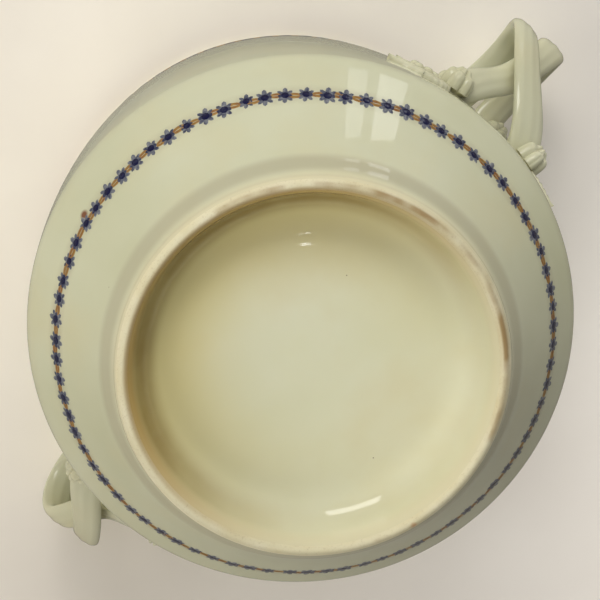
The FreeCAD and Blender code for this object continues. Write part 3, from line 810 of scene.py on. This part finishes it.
def ring_tree(name):
    """Node tree that sets its motif round the wall with a painter's waver."""
    tree = bpy.data.node_groups.new(name, "GeometryNodeTree")
    face = tree.interface
    face.new_socket("Geometry", in_out="INPUT", socket_type="NodeSocketGeometry")
    for label, kind, value in (("Radius", "NodeSocketFloat", 0.05), ("Height", "NodeSocketFloat", 0.02),
                               ("Count", "NodeSocketInt", STAR_COUNT), ("Start Turn", "NodeSocketFloat", 0.0),
                               ("Wall Tilt", "NodeSocketFloat", 0.5), ("Lean", "NodeSocketFloat", 0.6),
                               ("Seed", "NodeSocketInt", 1)):
        face.new_socket(label, in_out="INPUT", socket_type=kind).default_value = value
    face.new_socket("Paint", in_out="INPUT", socket_type="NodeSocketMaterial")
    face.new_socket("Geometry", in_out="OUTPUT", socket_type="NodeSocketGeometry")
    given = tree.nodes.new("NodeGroupInput").outputs
    index = add(tree, "GeometryNodeInputIndex", {})
    step = add(tree, "ShaderNodeMath", {0: index, 1: given["Count"]}, operation="DIVIDE")
    turn = add(tree, "ShaderNodeMath", {0: step, 1: 2 * math.pi, 2: given["Start Turn"]},
               operation="MULTIPLY_ADD")
    # stray: turn along the belt, climb up it, and twist, as the brush wavered
    stray = add(tree, "FunctionNodeRandomValue", {
        0: (-0.008, -0.0002, -0.16), 1: (0.008, 0.0002, 0.16), "ID": index, "Seed": given["Seed"]},
        0, data_type="FLOAT_VECTOR")
    along = add(tree, "ShaderNodeSeparateXYZ", {"Vector": stray}, "X")
    climb = add(tree, "ShaderNodeSeparateXYZ", {"Vector": stray}, "Y")
    twist = add(tree, "ShaderNodeSeparateXYZ", {"Vector": stray}, "Z")
    angle = add(tree, "ShaderNodeMath", {0: turn, 1: along}, operation="ADD")
    reach = add(tree, "ShaderNodeMath", {0: climb, 1: given["Lean"], 2: given["Radius"]},
                operation="MULTIPLY_ADD")
    cosine = add(tree, "ShaderNodeMath", {0: angle}, operation="COSINE")
    sine = add(tree, "ShaderNodeMath", {0: angle}, operation="SINE")
    spot = add(tree, "ShaderNodeCombineXYZ", {
        "X": add(tree, "ShaderNodeMath", {0: cosine, 1: reach}, operation="MULTIPLY"),
        "Y": add(tree, "ShaderNodeMath", {0: sine, 1: reach}, operation="MULTIPLY"),
        "Z": add(tree, "ShaderNodeMath", {0: given["Height"], 1: climb}, operation="ADD")})
    dots = add(tree, "GeometryNodePoints", {"Count": given["Count"], "Position": spot})
    facing = add(tree, "ShaderNodeCombineXYZ", {"X": twist, "Y": given["Wall Tilt"], "Z": angle})
    size = add(tree, "FunctionNodeRandomValue", {2: 0.92, 3: 1.1, "ID": index, "Seed": given["Seed"]},
               1, data_type="FLOAT")
    placed = add(tree, "GeometryNodeInstanceOnPoints", {
        "Points": dots, "Instance": given["Geometry"], "Rotation": facing, "Scale": size})
    real = add(tree, "GeometryNodeRealizeInstances", {"Geometry": placed})
    painted = add(tree, "GeometryNodeSetMaterial", {"Geometry": real, "Material": given["Paint"]})
    end = tree.nodes.new("NodeGroupOutput")
    tree.links.new(painted, end.inputs[0])
    return tree


def paint_ring(name, motif, level, offset, seed, paint, stands_for, tree):
    """Repeats one motif round the wall and ties the plain mesh in."""
    points, faces, loads = motif
    mesh = bpy.data.meshes.new(name)
    mesh.from_pydata([tuple(c * MM for c in p) for p in points], [], faces)
    mesh.attributes.new("load", "FLOAT", "POINT").data.foreach_set("value", loads)
    carrier = bpy.data.objects.new(name, mesh)
    bpy.context.collection.objects.link(carrier)
    slope = wall_slope(level)
    sockets = {item.name: item.identifier for item in tree.interface.items_tree if item.in_out == "INPUT"}
    ring = carrier.modifiers.new("ring", "NODES")
    ring.node_group = tree
    for label, value in (("Radius", (wall_radius(level) - SUNK) * MM), ("Height", level * MM),
                         ("Lean", slope), ("Count", STAR_COUNT),
                         ("Start Turn", 2 * math.pi * offset / STAR_COUNT),
                         ("Wall Tilt", math.atan(slope)), ("Seed", seed), ("Paint", paint)):
        ring[sockets[label]] = value
    view = bpy.context.evaluated_depsgraph_get()
    plain = bpy.data.meshes.new_from_object(carrier.evaluated_get(view))
    carrier.modifiers.clear()
    carrier.data = plain
    plain.polygons.foreach_set("use_smooth", [True] * len(plain.polygons))
    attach(carrier, "root")
    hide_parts(stands_for)
    return carrier


def scene_belts(enamel, gilding):
    tree = ring_tree("painted_ring")
    for stem, level in (("belt", BELT_Z), ("rim", RIM_BELT_Z)):
        pitch = 2 * math.pi * wall_radius(level) / STAR_COUNT
        paint_ring(stem + "_star_paint", star_motif(), level, 0.0, 7, enamel,
                   stem + "_stars", tree)
        link = link_motif(pitch / 2 - LINK_GAP)
        paint_ring(stem + "_chain_paint", link, level, 0.5, 11, gilding, stem + "_chain", tree)
    low, high = RIM_LINE_Z, RIM_Z - 0.1
    start = (wall_radius(low) + 0.08, low)
    line = outline([(*start, 0, 6), (RIM_R + 0.08, high, 0, 2), (RIM_R - 0.3, high, 0, 2),
                    (RIM_R - 0.3, low, 0, 2), (*start, 0, 1)])[:-1]
    points, faces = turned(line)
    finish_piece("rim_line", points, faces, gilding, ["rim_gilding"])


# ---------------------------------------------------------- table and lights

def pale_table(name, height, faces_down):
    """Pale paper-covered surface, seen only from the side the pot is on."""
    mesh = bpy.data.meshes.new(name)
    half = 0.9
    corners = [(-half, -half, height), (half, -half, height), (half, half, height), (-half, half, height)]
    order = (3, 2, 1, 0) if faces_down else (0, 1, 2, 3)
    mesh.from_pydata(corners, [], [order])
    made, tree, shader = finish_named(name + "_paper", Roughness=0.9)
    place = add(tree, "ShaderNodeTexCoord", {}, "Object")
    # soft unevenness of the paper, 60 mm across
    tone = add(tree, "ShaderNodeTexNoise", {"Vector": place, "Scale": 1 / (60 * MM), "Detail": 4.0})
    colour = add(tree, "ShaderNodeValToRGB", {"Fac": tone}, stops=[(0.3, "#e6dfd5"), (0.7, "#efe9e0")])
    tree.links.new(colour, shader.inputs["Base Color"])
    # painted light: the paper glows a little brighter on one side, where more room light reaches it
    across = add(tree, "ShaderNodeVectorMath", {0: place, 1: (7.17, 6.93, 0)}, "Value",
                 operation="DOT_PRODUCT")
    painted_glow_strength = add(tree, "ShaderNodeMapRange", {"Value": across, "From Min": -0.4, "From Max": 0.8,
                                             "To Min": 0.0, "To Max": 0.14})
    glow = add(tree, "ShaderNodeEmission", {"Color": srgb("#f4f3f2"), "Strength": painted_glow_strength})
    bright = add(tree, "ShaderNodeAddShader", {0: tree.nodes["Principled BSDF"].outputs[0], 1: glow})
    # in the glaze the paper shows dimmer than it is, for it is in the pot's shade
    dim = add(tree, "ShaderNodeEmission", {"Color": srgb("#cfc8b8"), "Strength": 0.42})
    glossy = add(tree, "ShaderNodeLightPath", {}, "Is Glossy Ray")
    lit = add(tree, "ShaderNodeMixShader", {0: glossy, 1: bright, 2: dim})
    behind = add(tree, "ShaderNodeNewGeometry", {}, "Backfacing")
    clear = add(tree, "ShaderNodeBsdfTransparent", {})
    both = add(tree, "ShaderNodeMixShader", {0: behind, 1: lit, 2: clear})
    tree.links.new(both, tree.nodes["Material Output"].inputs["Surface"])
    mesh.materials.append(made)
    table = bpy.data.objects.new(name, mesh)
    bpy.context.collection.objects.link(table)
    table.visible_shadow = False
    table.visible_diffuse = faces_down
    table.visible_glossy = faces_down
    table.visible_transmission = False


def panel_light(name, place, target, width, height, power, tint="#ffffff", mirrored=True):
    """Rectangular lamp; one that isn't mirrored gives no highlight in the glaze."""
    lamp = bpy.data.lights.new(name, "AREA")
    lamp.shape = "RECTANGLE"
    lamp.size, lamp.size_y = width, height
    lamp.energy = power
    lamp.color = srgb(tint)[:3]
    holder = bpy.data.objects.new(name, lamp)
    bpy.context.collection.objects.link(holder)
    holder.location = place
    aim = Vector(target) - Vector(place)
    holder.rotation_euler = aim.to_track_quat("-Z", "Y").to_euler()
    holder.visible_glossy = mirrored
    holder.visible_camera = False


def scene_lights():
    world = bpy.data.worlds.new("soft_room")
    world.use_nodes = True
    back = world.node_tree.nodes["Background"]
    back.inputs["Color"].default_value = srgb("#ece8e0")
    back.inputs["Strength"].default_value = 0.13
    bpy.context.scene.world = world
    # main window, beyond the foot; it throws the foot's shadow into the recess
    panel_light("window", (0.33, -0.617, -0.42), (0.01, -0.01, 0.01), 0.34, 0.24, 1.4, "#fffdf8")
    panel_light("window_glow", (0.51, -0.48, -0.40), (0.01, -0.01, 0.01), 0.40, 0.24, 2.7, "#fffdf8", False)
    # soft fill from all round
    panel_light("fill_west", (-0.62, -0.50, -0.45), (0, 0, 0.01), 0.5, 0.5, 2.0, "#fffaf2", False)
    panel_light("fill_south", (-0.75, 0.05, -0.45), (0, 0, 0.01), 0.5, 0.5, 3.0, "#fffaf2", False)
    panel_light("fill_north", (0.75, 0.0, -0.45), (0, 0, 0.01), 0.5, 0.5, 0.8, "#fbfaff", False)
    panel_light("fill_below", (0.15, -0.25, -0.95), (0, 0, 0.01), 0.5, 0.5, 1.3, "#ffffff", False)
    # two low panes that stand as soft stripes in the lower wall
    panel_light("pane_near", (0.277, -0.151, 0.056), (0.04, -0.03, 0.02), 0.028, 0.05, 0.006)
    panel_light("pane_far", (0.287, -0.100, 0.056), (0.04, -0.03, 0.02), 0.040, 0.05, 0.013)
    # a small ceiling lamp, for the pin-point lights in the glaze
    panel_light("lamp", (-0.081, 0.178, -0.86), (0.0, 0.0, 0.0), 0.005, 0.005, 0.0012)
    # a soft ceiling for the pot standing upright
    panel_light("overhead", (-0.25, -0.35, 0.85), (0, 0, 0.04), 0.6, 0.6, 7.0)


def scene_camera():
    eye = bpy.data.cameras.new("eye")
    eye.lens = 114.0
    eye.sensor_width = 36.0
    eye.clip_start = 0.01
    holder = bpy.data.objects.new("eye", eye)
    bpy.context.collection.objects.link(holder)
    holder.location = (0.0576, -0.1005, -0.3419)
    holder.rotation_euler = [math.radians(v) for v in (164.10, 4.26, 44.0)]
    bpy.context.scene.camera = holder


# --------------------------------------------------------------------- build

wall_glaze = glazed_porcelain(
    "grey_white_glazed_porcelain", "#cccdb3", "#c0c1a2", "#c9c39e", 0.012, bleed_and_foot_shade=True)
recess_glaze = glazed_porcelain(
    "cream_glazed_recess", "#e0e1c8", "#d9d9b8", "#d6cfa8", 0.010, recess_pool_and_shade=True)
strap_glaze = glazed_porcelain("strap_glazed_porcelain", "#cfcfb6", "#c4c3a6", "#cbc4a2", 0.03)
sprig_glaze = glazed_porcelain("sprig_glazed_porcelain", "#d3d2ba", "#c2c0a0", "#c9c29a", 0.03)

scene_pot(wall_glaze, recess_glaze, rubbed_foot())
scene_handles(strap_glaze, sprig_glaze)
scene_belts(brushed_blue(), worn_gilding())
pale_table("tabletop", cad_box[1][2] + 0.0004, True)
pale_table("floor", cad_box[0][2] - 0.0002, False)
scene_lights()
scene_camera()

# plain colours, as a simple camera gives them
bpy.context.scene.view_settings.view_transform = "Standard"
